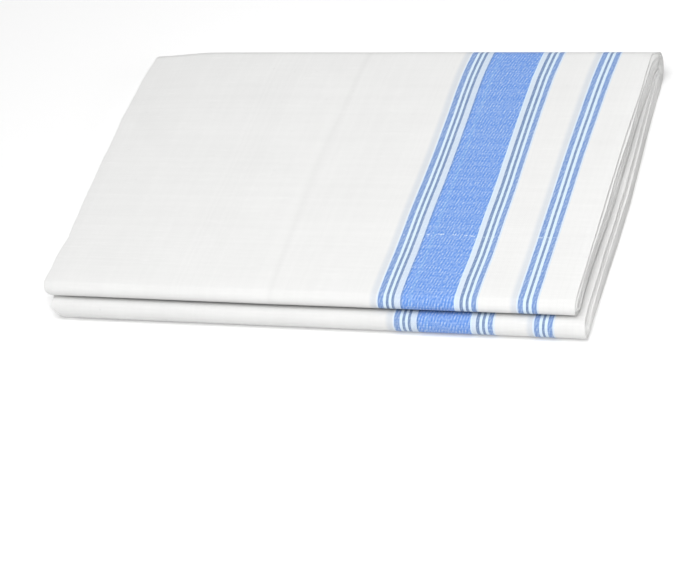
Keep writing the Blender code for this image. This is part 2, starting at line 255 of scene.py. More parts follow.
# ---- the woven border ----
# How many millimetres the border lies off its place on the outermost turn, as it goes
# round: stretch, share of the way along it, offset at BORDER_PLACES of the folded width.
BORDER_PLACES = (0.65, 0.81, 0.925)
BORDER_WANDER = (("slit_roof", 0.0, -4.0, -4.0, -4.0), ("slit_roof", 1.0, -3.2, -1.9, -0.6),
                 ("top", 0.00, -2.7, -1.6, -0.2), ("top", 0.06, -2.4, -1.4, 0.0),
                 ("top", 0.10, -2.1, -1.0, 0.0), ("top", 0.15, -1.6, -0.5, 0.1),
                 ("top", 0.22, -1.3, -0.3, 0.3), ("top", 0.30, -1.2, -0.3, 0.3),
                 ("top", 0.37, -0.9, 0.0, 0.4), ("top", 0.44, -0.4, 0.1, 0.4),
                 ("top", 0.51, -0.1, -0.1, 0.4), ("top", 0.58, 0.1, -0.2, 0.5),
                 ("top", 0.66, 0.1, -0.3, 0.8), ("top", 0.74, 0.1, -0.3, 1.2),
                 ("top", 0.82, -0.2, -0.1, 1.5), ("top", 0.90, -0.1, 0.1, 2.0),
                 ("top", 0.96, 0.5, 0.9, 2.7), ("top", 1.00, 1.2, 1.6, 3.3),
                 ("under", 0.0, 2.6, 3.0, 4.0), ("under", 1.0, 5.1, 6.2, 7.4),
                 ("slit_floor", 0.0, 5.5, 6.5, 7.7), ("slit_end", 1.0, 9.0, 9.0, 9.0))


def srgb(red, green, blue):
    """A colour given in eight-bit steps, as the shader wants it."""
    def linear(value):
        value /= 255
        return value / 12.92 if value <= 0.04045 else ((value + 0.055) / 1.055) ** 2.4
    return linear(red), linear(green), linear(blue), 1.0


# The warp's colours, without the white weft that shows between them.
PLAIN = srgb(238, 238, 237)
WEFT = srgb(226, 240, 250)
MILK = srgb(219, 237, 252)
PALE_LEFT = srgb(210, 223, 240)
PALE_RIGHT = srgb(217, 229, 243)
FRINGE = srgb(222, 234, 247)
STEEL = srgb(117, 141, 182)
EDGE_BLUE = srgb(120, 152, 208)
SKY_EDGE = srgb(96, 138, 206)
SKY = srgb(96, 147, 228)
SKY_LIGHT = srgb(107, 157, 230)

# Each band of the border starts at this share of the folded width.
WIDE_BORDER = ((0.6490, FRINGE), (0.6515, EDGE_BLUE), (0.6615, MILK),
               (0.6665, STEEL), (0.6712, MILK), (0.6765, STEEL), (0.6815, PALE_LEFT),
               (0.6920, SKY_EDGE), (0.6950, SKY), (0.7055, SKY_LIGHT), (0.7125, SKY),
               (0.7865, MILK), (0.7885, PALE_RIGHT), (0.7965, STEEL), (0.8018, MILK),
               (0.8070, STEEL), (0.8118, MILK), (0.8168, EDGE_BLUE), (0.8250, FRINGE),
               (0.8280, PLAIN))
NARROW_BORDER = ((0.8928, FRINGE), (0.8955, EDGE_BLUE), (0.9042, MILK),
                 (0.9095, STEEL), (0.9140, MILK), (0.9190, EDGE_BLUE), (0.9275, FRINGE),
                 (0.9305, PLAIN))

# The parts of the width that the two ramps of colours cover, and where they meet.
WIDE_SPAN = (0.63 * FOLD_WIDTH, 0.84 * FOLD_WIDTH)
NARROW_SPAN = (0.87 * FOLD_WIDTH, 0.94 * FOLD_WIDTH)
SPANS_MEET = 0.86 * FOLD_WIDTH
# A faint grey-blue band beside each border: where it starts, is full, ends.
GHOSTS = ((0.6340, 0.6430, 0.6490), (0.8790, 0.8880, 0.8928))
GHOST = srgb(221, 225, 230)
# A warp is dyed where its red is low, and takes less white weft where its blue is low.
DYED_RED = (0.84, 0.64)
DEEP_BLUE = (0.45, 0.78)
DEEP_KEEPS = 0.45

# ---- yarn and weave ----
WARP_PITCH = 0.55 * MM           # from one thread to the next
WEFT_PITCH = 0.62 * MM
WARP_SWAY = 1.6                  # how far the threads drift, in threads
WEFT_SWAY = 2.2
DRIFT_NOISE = (90.0, 2.0)        # lumps per metre, and how fine their detail is
JOSTLE_NOISE = (300.0, 1.0)
PATCH_NOISE = (700.0, 1.5)
LUMP_NOISE = (700.0, 1.0)
TONE_NOISE = (38.0, 3.0)
CELL_NOISE = (1.0, 1.0)          # one lump per cell
# The white weft shows in fine slanting lines: waves per metre across and along the
# cloth, how strong they are, and how many waves the drift and the jostle sway them.
SLANT = (529.0, -202.0, 0.0)
SLANT_STRENGTH = 0.32
SLANT_DRIFT = 0.9
SLANT_JOSTLE = 0.9
CROSS_SLANT = (612.0, -60.0, 0.0)
CROSS_STRENGTH = 0.24
CROSS_JOSTLE = -0.7
PATCHES = (0.28, 0.72)           # the noise where the lines are faintest and strongest
PATCHES_SHOW = (0.14, 0.60)      # and how much weft shows there
WEFT_TONE_SHOWS = 0.10
SLUB_SCALE = (60.0, 900.0)       # cells per metre across and along the cloth
SLUB_NOISE = (0.66, 0.80)        # the noise where a slub starts and is full
SPECK_SCALE = (70.0, 130.0)
SPECK_CHOSEN = 0.955             # cells above this share have a speck
SPECK_EDGE = (0.05, 0.01)        # from its rim to its full middle, in cells
SLUB_LINE = 0.2460               # metres along the outermost turn: one thick weft
SLUB_SWAY = 3.0 * MM
SLUB_HALF_WIDTH = 0.6 * MM
SLUB_LUMPS = (0.40, 0.62)        # the noise where the thick weft thins out and is full
THICK_WEFT_SHOWS = 0.75
# How much the threads and their flaws add to the brightness of the cloth.
BARE_LIGHT = 1.015
WARP_UP_LIGHT = -0.03
THREAD_LIGHT = 0.02
TONE_LIGHT = 0.05
THICK_WEFT_LIGHT = 0.02
SPECK_LIGHT = -0.16
SLUB_LIGHT = 0.03
SLUB_HEIGHT = 0.8                # against the height of a thread
BUMP_STRENGTH = 0.35
BUMP_HEIGHT = 0.08 * MM
COTTON_FINISH = {"Roughness": 0.9, "Specular IOR Level": 0.2, "Sheen Weight": 0.12,
                 "Sheen Roughness": 0.5}

# ---- the studio ----
WHITE = (1.0, 1.0, 1.0, 1.0)
FLOOR_SIZE = 6.0
FLOOR_DROP = 0.1 * MM            # below the packet
FLOOR_FINISH = {"Base Color": (0.93, 0.93, 0.93, 1.0), "Roughness": 0.8,
                "Specular IOR Level": 0.1, "Emission Color": WHITE,
                "Emission Strength": 0.15}
WORLD_LIGHT = 0.16
LIGHTS_AIM = Vector((0.0, 0.0, 0.0))
# name, place, size, power
SOFTBOXES = (("front_softbox", (0.14, -0.50, 1.20), 1.0, 12.4),
             ("overhead_softbox", (0.0, 0.0, 1.6), 1.4, 7.2),
             ("side_fill", (1.1, -0.35, 0.45), 0.8, 3.3))
# The camera stands in front and to the right, looks down and leans clockwise.
CAMERA_PLACE = Vector((720.3 * MM - MIDDLE_X, -858.0 * MM - MIDDLE_Y, 998.3 * MM))
CAMERA_PAN = math.radians(31.819)
CAMERA_TILT = math.radians(43.691)
CAMERA_ROLL = math.radians(-21.091)
FOCAL_LENGTH = 137.86
SENSOR_WIDTH = 36.0
CLIP_START = 0.01


def blend(start, end, share):
    return start + (end - start) * share


def clamp(value, low=0.0, high=1.0):
    return min(max(value, low), high)


def smooth_step(value):
    value = clamp(value)
    return value * value * (3 - 2 * value)


def ease(value, start, end):
    """0 up to start, 1 from end on, and smooth between them."""
    return smooth_step((value - start) / (end - start))


def from_table(table, share, column):
    """Reads one column of a table whose first column rises from 0 to 1."""
    for low, high in zip(table, table[1:]):
        if share <= high[0]:
            return blend(low[column], high[column], (share - low[0]) / (high[0] - low[0]))
    return table[-1][column]


def wander(place, pitch, seed):
    """Smooth random numbers from -1 to 1 along a line."""
    second, third = (seed * step for step in SEED_STEPS)
    return 2 * noise.noise(Vector((place / pitch, second, third)))


# ---- the side view: where a turn runs ----

def arm_point(upper, outer_side, along, depth_share):
    """A point on the flat run of a bundle; along is 0 at the front fold."""
    if upper:
        skin_in, skin_out = HEIGHT - UPPER_HEIGHT, HEIGHT
        front = UPPER_SETBACK + NOSE
    else:
        skin_in, skin_out = LOWER_HEIGHT, 0.0
        front = NOSE
    through = 1 - depth_share / 2 if outer_side else depth_share / 2
    return blend(front, DEPTH - BACK_BULGE, along), blend(skin_in, skin_out, through)


def nose_point(upper, angle, depth_share):
    """A point round a front fold; angle 90 is its top, 180 its tip, 270 its foot."""
    if upper:
        foot, height, tip = HEIGHT - UPPER_HEIGHT, UPPER_HEIGHT, UPPER_SETBACK
    else:
        foot, height, tip = 0.0, LOWER_HEIGHT, 0.0
    left = 1 - depth_share
    turn = math.radians(angle)
    return (tip + NOSE + NOSE * left * math.cos(turn),
            foot + height / 2 + height / 2 * left * math.sin(turn))


def bend_point(outer_side, angle, depth_share):
    """A point round the back fold; angle 90 is its top, -90 its foot."""
    through = 1 - depth_share / 2 if outer_side else depth_share / 2
    reach = blend(SLIT_END, BACK_BULGE, through)
    half_height = blend(SLIT / 2, HEIGHT / 2, through)
    middle = blend(LOWER_HEIGHT + SLIT / 2, HEIGHT / 2, through)
    turn = math.radians(angle)
    return DEPTH - BACK_BULGE + reach * math.cos(turn), middle + half_height * math.sin(turn)


# Round a turn: name, steps, columns of TURN_OUT at its start and end.
STRETCHES = (("slit_roof", ARM_STEPS, 1, 1),
             ("upper_nose", NOSE_STEPS, 1, 0),
             ("top", ARM_STEPS, 0, 0),
             ("back", BACK_STEPS, 0, 3),
             ("under", ARM_STEPS, 3, 3),
             ("lower_nose", NOSE_STEPS, 3, 2),
             ("slit_floor", ARM_STEPS, 2, 2),
             ("slit_end", SLIT_STEPS, 2, 1))


def on_turn(name, along, share):
    """The point at a share of the way along a stretch, as (y, z, upper)."""
    if name == "slit_roof":
        return (*arm_point(True, False, 1 - along, share), True)
    if name == "upper_nose":
        return (*nose_point(True, 270 - 180 * along, share), True)
    if name == "top":
        return (*arm_point(True, True, along, share), True)
    if name == "back":
        return (*bend_point(True, 90 - 180 * along, share), along < 0.5)
    if name == "under":
        return (*arm_point(False, True, 1 - along, share), False)
    if name == "lower_nose":
        return (*nose_point(False, 270 - 180 * along, share), False)
    if name == "slit_floor":
        return (*arm_point(False, False, along, share), False)
    return (*bend_point(False, -90 + 180 * along, share), along > 0.5)


# ---- the ends and the settled form ----

def end_reach(y, z, upper):
    """Where the left fold, the selvedge end and the bend's end lie at a point."""
    if upper:
        share = (z - (HEIGHT - UPPER_HEIGHT)) / UPPER_HEIGHT
        left_in, right_out = UPPER_LEFT_IN, UPPER_RIGHT
    else:
        share = z / LOWER_HEIGHT
        left_in, right_out = LOWER_LEFT_IN, LOWER_RIGHT
    share = clamp(share)
    depth = y / DEPTH
    left = from_table(left_in, share, 1) + LEFT_TAPER * ease(depth, LEFT_TAPER_FROM, 1)
    if upper:
        left += from_table(LEFT_WANDER, depth, 1)
    bottom, top = (from_table(right_out, depth, column) for column in (1, 2))
    bend_end = FOLD_WIDTH + from_table(BEND_RIGHT, clamp(z / HEIGHT), 1)
    return left, FOLD_WIDTH + blend(bottom, top, share), bend_end


def crease_nearness(x, y):
    """1 at the bottom of the narrow crease, and 0 well away from it."""
    front, pull, behind = CREASE_ROUTE
    share = y / DEPTH
    place = blend(blend(front, pull, share), blend(pull, behind, share), share)
    return math.exp(-((x - place) / CREASE_HALF_WIDTH) ** 2)


def top_swell(x, y):
    """How much higher than in the neat packet the top lies, halfway to the back."""
    swell = TOP_CROWN * math.sin(math.pi * clamp(x / FOLD_WIDTH))
    for place, half_width, height in TOP_WAVES:
        swell += height * math.exp(-((x - place) / half_width) ** 2)
    swell -= CREASE_DEPTH * crease_nearness(x, y)
    for amount, pitch, seed in ((PUCKER, PUCKER_PITCH, PUCKER_SEED),
                                (BUCKLE, BUCKLE_PITCH, BUCKLE_SEED)):
        swell += amount * noise.noise(Vector((x / pitch[0], y / pitch[1], seed)))
    return swell


def end_ripple(x, y, z):
    """How far the layers wave up and down next to the two ends."""
    end = smooth_step(1 - min(x, FOLD_WIDTH - x) / END_RIPPLE_REACH)
    inside = math.sin(math.pi * clamp(z / HEIGHT))
    depth_pitch, height_pitch, width_pitch = END_RIPPLE_PITCH
    field = Vector((y / depth_pitch, z / height_pitch, x / width_pitch))
    return END_RIPPLE * end * inside * (2 * noise.noise(field))


def settle(x, y, z, upper):
    """Moves a point of the neat packet to where the cloth has settled."""
    along = math.sin(math.pi * clamp(y / DEPTH))
    corner = smooth_step(1 - x / BACK_LEFT_REACH) * smooth_step(2 * y / DEPTH - 1)
    droop = from_table(FRONT_DROOP, max(y - UPPER_SETBACK, 0.0), 1) if upper else 0.0
    lift = top_swell(x, y) * math.sqrt(along) - BACK_LEFT_SINK * corner + droop
    ripple = end_ripple(x, y, z)
    y -= BACK_LEFT_PULL * corner
    if upper:
        across = math.sin(math.pi * clamp(x / FOLD_WIDTH))
        y -= FRONT_BOW * across * smooth_step(1 - y / (FRONT_BOW_SHARE * DEPTH))
    return x - MIDDLE_X, y - MIDDLE_Y, z * (1 + lift / HEIGHT) + ripple


# ---- the section of a turn ----

def rounded(tip, start, end, radius, steps, keeps):
    """Points round an edge, from one face to the other, with painted shade past the first; radius
    is signed outwards.
    """
    points = []
    for step in range(steps + 1):
        turn = math.pi * step / steps
        points.append((tip - radius * (1 - math.sin(turn)),
                       (start + end) / 2 - (end - start) / 2 * math.cos(turn),
                       keeps if step else 1.0))
    return points


def shown_columns():
    """Shares of the width where a surface that shows has its points."""
    low, high = (place / FOLD_WIDTH for place in CREASE_ZONE)
    even = [step / ACROSS_SHOWN for step in range(1, ACROSS_SHOWN)]
    creased = [blend(low, high, step / CREASE_FACES) for step in range(CREASE_FACES + 1)]
    return sorted(creased + [share for share in even if not low < share < high])


SHOWN_COLUMNS = shown_columns()
HIDDEN_COLUMNS = [step / ACROSS_HIDDEN for step in range(1, ACROSS_HIDDEN)]


def section(left, first, second, closed, spread, light, columns):
    """Points (x, through, brightness left by painted shade) round a turn: outer face,
    first selvedge, second selvedge, closed fold, inner face, left fold."""
    plies = [[blend(*pair, spread) for pair in zip(flush, apart)]
             for flush, apart in zip(FLUSH_PLIES, SPREAD_PLIES)]
    closed_round = blend(*CLOSED_FOLD_ROUND, spread)
    # Painted shade on the edges and in the grooves, lighter next to the front folds.
    edge, groove = (blend(keeps, 1.0, light) for keeps in (EDGE_PAINTED_SHADE, GROOVE_PAINTED_SHADE))
    inside = min(first, second, closed) - GROOVE
    start, stop = left + LEFT_FOLD_ROUND, first - EDGE_ROUND
    points = [(blend(start, stop, share), 0.0, 1.0) for share in columns]
    points += rounded(first, *plies[0], EDGE_ROUND, SELVEDGE_STEPS, edge)
    points += [(inside, PLY + side * PLY_GAP, groove) for side in (-1, 1)]
    points += rounded(second, *plies[1], EDGE_ROUND, SELVEDGE_STEPS, edge)
    points += [(inside, 2 * PLY + side * PLY_GAP, groove) for side in (-1, 1)]
    points += rounded(closed, *plies[2], closed_round, CLOSED_FOLD_STEPS, edge)
    stop = closed - closed_round
    points += [(blend(stop, start, share), 1.0, edge) for share in HIDDEN_COLUMNS]
    points += rounded(left, 1.0, 0.0, -LEFT_FOLD_ROUND, LEFT_FOLD_STEPS, 1.0)
    return points


def nearness_to_nose(name, along):
    """1 round a front fold, and 0 further than NOSE_FLARE_REACH from it."""
    if name in ("upper_nose", "lower_nose"):
        return 1.0
    if name in ("top", "slit_floor"):
        return smooth_step(1 - along / NOSE_FLARE_REACH)
    if name in ("under", "slit_roof"):
        return smooth_step(1 - (1 - along) / NOSE_FLARE_REACH)
    return 0.0


def nearness_to_bend(y):
    """0 along the bundles, and 1 where the selvedge end is that of the back fold."""
    return ease(y / DEPTH, BEND_FROM, BEND_TO)


def selvedge_end(turn, place, y, right, bend_end, out_columns, along, near_nose):
    """Where a turn's two selvedges and its closed fold end, and how far its plies are
    spread apart there."""
    first, last = out_columns
    out, second_out, closed_out, spread = (
        blend(table[turn][first], table[turn][last], smooth_step(along))
        for table in (TURN_OUT, SECOND_OUT, CLOSED_OUT, TURN_SPREAD))
    fade = ease(y / DEPTH, SPREAD_FADE_FROM, SPREAD_FADE_TO)
    spread *= 1 - fade
    out *= 1 - OUT_FADE * fade
    second_out *= 1 - OUT_FADE * fade
    second_out += NOSE_FLARE[turn] * near_nose
    closed_out -= SPREAD_RECESS * spread
    edge = blend(right + out, bend_end, nearness_to_bend(y))
    edges = []
    for index, extra in enumerate((0.0, second_out, closed_out)):
        seed = SEEDS_PER_TURN * turn + index
        edges.append(edge + extra
                     + EDGE_WANDER * wander(place, WANDER_PITCH, seed)
                     + EDGE_FRAY * wander(place, FRAY_PITCH, seed + FRAY_SEED))
    return edges, spread


def ring(turn, place, outer, inner, out_columns, along, near_nose, columns):
    """One ring round a turn: its settled points, the x of each and the brightness its painted
    shade leaves.
    """
    left, right, bend_end = end_reach(*outer)
    edges, spread = selvedge_end(turn, place, outer[0], right, bend_end, out_columns,
                                 along, near_nose)
    left_seed = SEEDS_PER_TURN * turn + LEFT_FOLD_SEED
    left += TURN_LEFT_IN[turn] + EDGE_WANDER * wander(place, LEFT_FOLD_PITCH, left_seed)
    light = FRONT_LIGHT * smooth_step(1 - outer[0] / (FRONT_LIGHT_SHARE * DEPTH))
    points = section(left, *edges, spread, light, columns)
    settled = [settle(x, blend(outer[0], inner[0], through),
                      blend(outer[1], inner[1], through), outer[2])
               for x, through, painted_shade in points]
    # Painted shade at the selvedge end of the back fold.
    bend_shade = blend(1.0, BEND_PAINTED_SHADE, nearness_to_bend(outer[0]))
    keeps = [painted_shade * (bend_shade if x > FOLD_WIDTH - BEND_END else 1.0)
             for x, through, painted_shade in points]
    return settled, [x for x, through, painted_shade in points], keeps


def painted_shade_at(name, along, x, y):
    """Painted shade at a point of a stretch: the cloth is darkened inside the slit,
    and less so towards the two ends, where light gets in; also along the crease and on the lower
    fold."""
    # Painted shade along the bottom of the narrow crease.
    creased = 1 - CREASE_PAINTED_SHADE * crease_nearness(x, y)
    share = clamp(x / FOLD_WIDTH, SLIT_OPEN_SHARE, 1 - SLIT_OPEN_SHARE)
    closed = math.sqrt(math.sin(math.pi * share))
    if name in ("top", "back"):
        return creased
    if name == "slit_roof":
        return SLIT_PAINTED_SHADE
    if name == "slit_end":
        return blend(1.0, SLIT_PAINTED_SHADE, closed)
    if name == "upper_nose":
        return creased * blend(1.0, from_table(UPPER_NOSE_PAINTED_SHADE, along, 1), closed)
    if name == "slit_floor":
        ledge = smooth_step((x - FOLD_WIDTH + LEDGE) / LEDGE)
        inside = blend(LOWER_FOLD_PAINTED_SHADE, from_table(SLIT_FLOOR_PAINTED_SHADE, along, 1), closed)
        return blend(inside, LEDGE_PAINTED_SHADE, ledge)
    if name == "lower_nose":
        return from_table(LOWER_NOSE_PAINTED_SHADE, along, 1)
    return LOWER_FOLD_PAINTED_SHADE


def border_offset(name, along):
    """How far the border lies off its place, at a share of the way along a stretch."""
    order = [row[0] for row in STRETCHES]
    here = order.index(name) + along
    rows = [(order.index(row[0]) + row[1], *metres(*row[2:])) for row in BORDER_WANDER]
    for low, high in zip(rows, rows[1:]):
        if here <= high[0]:
            share = (here - low[0]) / (high[0] - low[0])
            return [blend(start, end, share) for start, end in zip(low[1:], high[1:])]
    return rows[-1][1:]


def cloth_across(x, offset):
    """Where a point lies across the flat cloth, with the border off its place."""
    table = ((0.0, offset[0]), *zip(BORDER_PLACES, offset), (2.0, offset[-1]))
    return x - from_table(table, x / FOLD_WIDTH, 1)


def gone_at(points):
    """How far along the cloth each point of a side view lies."""
    gone = [0.0]
    for before, here in zip(points, points[1:]):
        gone.append(gone[-1] + math.dist(before[:2], here[:2]))
    return gone


def closed_turn(turn, columns):
    """Rings round a closed turn; the last one meets the first."""
    outer_share = turn * TURN_SHARE + (TURN_GAP_SHARE if turn else 0.0)
    inner_share = (turn + 1) * TURN_SHARE - TURN_GAP_SHARE
    steps = [(name, (step / count) ** (FLOOR_CROWDING if name == "slit_floor" else 1), ends)
             for name, count, *ends in STRETCHES for step in range(count)]
    outers = [on_turn(name, along, outer_share) for name, along, ends in steps]
    gone = gone_at(outers + outers[:1])
    on_face = len(columns) + 1
    rings = []
    for (name, along, ends), outer, place in zip(steps, outers, gone):
        inner = on_turn(name, along, inner_share)
        settled, across, keeps = ring(turn, place, outer, inner, ends, along,
                                      nearness_to_nose(name, along), columns)
        # Only the outermost turn's faces get the painted shade of the slit, folds and crease.
        if turn == 0:
            keeps[:on_face] = [painted_shade * painted_shade_at(name, along, x, outer[0])
                               for painted_shade, x in zip(keeps[:on_face], across)]
        rings.append((settled, across, keeps))
    offsets = [border_offset(name, along) for name, along, ends in steps]
    return rings, gone[:-1], offsets, gone[-1]


# Along the middle turn: the stretches over and under it, steps, column of TURN_OUT.
MIDDLE_STRETCHES = (("top", "slit_roof", ARM_STEPS, 0), ("back", "slit_end", BACK_STEPS, 0),
                    ("under", "slit_floor", ARM_STEPS, 2))


def middle_turn():
    """Rings along the innermost turn, from the upper front fold to the lower one."""
    share = TURNS * TURN_SHARE + TURN_GAP_SHARE
    steps = [(outer, inner, step / count, column)
             for outer, inner, count, column in MIDDLE_STRETCHES for step in range(count)]
    steps.append(("under", "slit_floor", 1.0, 2))
    outers = [on_turn(name, along, share) for name, _, along, column in steps]
    gone = gone_at(outers)
    rings = [ring(TURNS, place, outer, on_turn(inner_name, 1 - along, share),
                  (column, column), along, 0.0, HIDDEN_COLUMNS)
             for (_, inner_name, along, column), outer, place in zip(steps, outers, gone)]
    return rings, gone, [(0.0, 0.0, 0.0)] * len(rings), gone[-1]


# ---- meshes ----

def add_shell(vertices, faces, texture, brightness, rings, places, offsets, length,
              closed):
    """Adds a shell's points, faces and cloth coordinates to the lists."""
    start, width, count = len(vertices), len(rings[0][0]), len(rings)
    rows = [(across, *row) for (_, across, _), *row in zip(rings, offsets, places)]
    if closed:
        rows.append((rings[0][1], offsets[-1], length))
    flat = [[(cloth_across(x, offset), place) for x in across]
            for across, offset, place in rows]
    for settled, across, keeps in rings:
        vertices += settled
        brightness += keeps
    for i in range(len(rows) - 1):
        here, after = start + i * width, start + (i + 1) % count * width
        for j in range(width):
            k = (j + 1) % width
            faces.append((here + j, here + k, after + k, after + j))
            texture += [flat[i][j], flat[i][k], flat[i + 1][k], flat[i + 1][j]]
    if not closed:
        for i, order in ((0, -1), (count - 1, 1)):
            faces.append([start + i * width + j for j in range(width)][::order])
            texture += [(x, places[i]) for x in rings[i][1]][::order]


def face_outwards(item):
    """Turns all faces of a mesh outwards."""
    bpy.ops.object.select_all(action="DESELECT")
    bpy.context.view_layer.objects.active = item
    item.select_set(True)
    bpy.ops.object.mode_set(mode="EDIT")
    bpy.ops.mesh.select_all(action="SELECT")
    bpy.ops.mesh.normals_make_consistent(inside=False)
    bpy.ops.object.mode_set(mode="OBJECT")
    item.select_set(False)


def cloth_mesh(name, shells, material):
    """Makes one named mesh of the given shells."""
    vertices, faces, texture, brightness = [], [], [], []
    for shell in shells:
        add_shell(vertices, faces, texture, brightness, *shell)
    data = bpy.data.meshes.new(name)
    data.from_pydata(vertices, [], faces)
    layer = data.uv_layers.new(name="cloth")
    layer.data.foreach_set("uv", [value for corner in texture for value in corner])
    # Painted shade at each point, which the material multiplies into the colour.
    painted_shade = data.attributes.new(name="painted_shade", type="FLOAT", domain="POINT")
    painted_shade.data.foreach_set("value", brightness)
    data.materials.append(material)
    data.shade_smooth()
    data.set_sharp_from_angle(angle=SHARP_ANGLE)
    item = bpy.data.objects.new(name, data)
    bpy.context.scene.collection.objects.link(item)
    face_outwards(item)
    return item


# ---- building shader nodes ----

def add_node(tree, kind, inputs=(), **settings):
    """Adds a node, sets its options, and sets or links its inputs."""
    made = tree.nodes.new(kind)
    for key, value in settings.items():
        setattr(made, key, value)
    for key, value in dict(inputs).items():
        if isinstance(value, bpy.types.NodeSocket):
            tree.links.new(value, made.inputs[key])
        else:
            made.inputs[key].default_value = value
    return made


def calculate(tree, operation, *values):
    return add_node(tree, "ShaderNodeMath", enumerate(values), operation=operation).outputs[0]


def add_scaled(tree, value, scale, base):
    """base + value * scale"""
    return calculate(tree, "MULTIPLY_ADD", value, scale, base)


def about_middle(tree, value):
    """Turns values from 0 to 1 into -0.5 to 0.5."""
    return calculate(tree, "SUBTRACT", value, 0.5)


def rescale(tree, value, span, new_span=(0.0, 1.0), kind="LINEAR"):
    """Turns one span of values into another and stops at its ends."""
    return add_node(tree, "ShaderNodeMapRange",
                    {0: value, 1: span[0], 2: span[1], 3: new_span[0], 4: new_span[1]},
                    interpolation_type=kind).outputs[0]


def soft_noise(tree, cloth, scale, detail):
    """Random values that change softly over the flat cloth."""
    return add_node(tree, "ShaderNodeTexNoise",
                    {"Vector": cloth, "Scale": scale, "Detail": detail},
                    noise_dimensions="2D").outputs[0]


def stretched(tree, cloth, scale):
    """The flat cloth in cells of unequal sides."""
    return add_node(tree, "ShaderNodeMapping",
                    {"Vector": cloth, "Scale": (*scale, 1.0)}).outputs[0]


def new_material(name, finish):
    """A material and its shader, with a finish on the shader's own sockets."""
    made = bpy.data.materials.new(name)
    made.use_nodes = True
    shader = made.node_tree.nodes["Principled BSDF"]
    for key, value in finish.items():
        shader.inputs[key].default_value = value
    return made, shader


def mix_colours(tree, share, low, high, blend_type="MIX"):
    made = add_node(tree, "ShaderNodeMix", data_type="RGBA", blend_type=blend_type,
                    inputs={0: share, 6: low, 7: high})
    return made.outputs[2]


def new_group(name, inputs, outputs):
    """A shader node group with named number outputs, and its two end nodes."""
    tree = bpy.data.node_groups.new(name, "ShaderNodeTree")
    for label, kind, value in inputs:
        made = tree.interface.new_socket(label, in_out="INPUT", socket_type=kind)
        if value is not None:
            made.default_value = value
    for label in outputs:
        tree.interface.new_socket(label, in_out="OUTPUT", socket_type="NodeSocketFloat")
    return tree, tree.nodes.new("NodeGroupInput").outputs, tree.nodes.new("NodeGroupOutput").inputs


# ---- the weave ----

def threads(tree, place, pitch, drift, sway):
    """Which thread lies at a place, how high its back is there, and its own tone."""
    place = calculate(tree, "DIVIDE", place, pitch)
    place = add_scaled(tree, drift, sway, place)
    index = calculate(tree, "FLOOR", place)
    through = calculate(tree, "MULTIPLY", calculate(tree, "FRACT", place), math.pi)
    hump = calculate(tree, "SINE", through)
    tone = add_node(tree, "ShaderNodeTexWhiteNoise", {"W": index}, noise_dimensions="1D")
    return index, hump, tone.outputs[0]


def crossing(tree, over, under):
    """The height of a thread that passes over another."""
    return calculate(tree, "MULTIPLY", over, add_scaled(tree, under, 0.5, 0.5))


def slanting_waves(tree, cloth, slant, sways):
    """Fine waves that slant over the cloth, swayed by noise."""
    waves = add_node(tree, "ShaderNodeVectorMath", {0: cloth, 1: slant},
                     operation="DOT_PRODUCT").outputs["Value"]
    for sway, strength in sways:
        waves = add_scaled(tree, sway, strength, waves)
    return calculate(tree, "SINE", calculate(tree, "MULTIPLY", waves, 2 * math.pi))


def weft_shows(tree, cloth, drift, weft_tone):
    """How much of the white weft shows between the warps, in fine slanting lines."""
    jostle = soft_noise(tree, cloth, *JOSTLE_NOISE)
    slant = slanting_waves(tree, cloth, SLANT,
                           ((drift, SLANT_DRIFT), (jostle, SLANT_JOSTLE)))
    cross = slanting_waves(tree, cloth, CROSS_SLANT, ((jostle, CROSS_JOSTLE),))
    lines = add_scaled(tree, slant, SLANT_STRENGTH, 0.5)
    lines = add_scaled(tree, cross, CROSS_STRENGTH, lines)
    patchy = soft_noise(tree, cloth, *PATCH_NOISE)
    patchy = rescale(tree, patchy, PATCHES, PATCHES_SHOW)
    shows = calculate(tree, "MULTIPLY", lines, patchy)
    return add_scaled(tree, about_middle(tree, weft_tone), WEFT_TONE_SHOWS, shows)


def plain_weave_group():
    """Warp and weft threads that pass over and under one another by turns."""
    tree, given, put = new_group(
        "plain_weave",
        [("Cloth", "NodeSocketVector", None), ("Warp Pitch", "NodeSocketFloat", WARP_PITCH),
         ("Weft Pitch", "NodeSocketFloat", WEFT_PITCH)],
        ["Warp Up", "Height", "Warp Tone", "Weft Tone", "Weft Shows"])
    parts = add_node(tree, "ShaderNodeSeparateXYZ", {0: given["Cloth"]}).outputs
    drift = about_middle(tree, soft_noise(tree, given["Cloth"], *DRIFT_NOISE))
    warp, warp_hump, warp_tone = threads(tree, parts[0], given["Warp Pitch"], drift, WARP_SWAY)
    weft, weft_hump, weft_tone = threads(tree, parts[1], given["Weft Pitch"], drift, WEFT_SWAY)
    up = calculate(tree, "FLOORED_MODULO", calculate(tree, "ADD", warp, weft), 2.0)
    over = crossing(tree, warp_hump, weft_hump)
    under = crossing(tree, weft_hump, warp_hump)
    height = add_node(tree, "ShaderNodeMix", {0: up, 2: under, 3: over}).outputs[0]
    shows = weft_shows(tree, given["Cloth"], drift, weft_tone)
    for label, value in (("Warp Up", up), ("Height", height), ("Warp Tone", warp_tone),
                         ("Weft Tone", weft_tone), ("Weft Shows", shows)):
        tree.links.new(value, put[label])
    return tree


def slubs_in(tree, cloth):
    """Short thick places in the weft."""
    long_noise = soft_noise(tree, stretched(tree, cloth, SLUB_SCALE), *CELL_NOISE)
    return rescale(tree, long_noise, SLUB_NOISE, kind="SMOOTHSTEP")


def specks_in(tree, cloth):
    """Small grey specks, in a few of many cells."""
    spots = add_node(tree, "ShaderNodeTexVoronoi",
                     {"Vector": stretched(tree, cloth, SPECK_SCALE), "Scale": 1.0},
                     voronoi_dimensions="2D")
    chosen = add_node(tree, "ShaderNodeSeparateColor", {0: spots.outputs["Color"]}).outputs[0]
    chosen = calculate(tree, "GREATER_THAN", chosen, SPECK_CHOSEN)
    near = rescale(tree, spots.outputs["Distance"], SPECK_EDGE, kind="SMOOTHSTEP")
    return calculate(tree, "MULTIPLY", near, chosen)


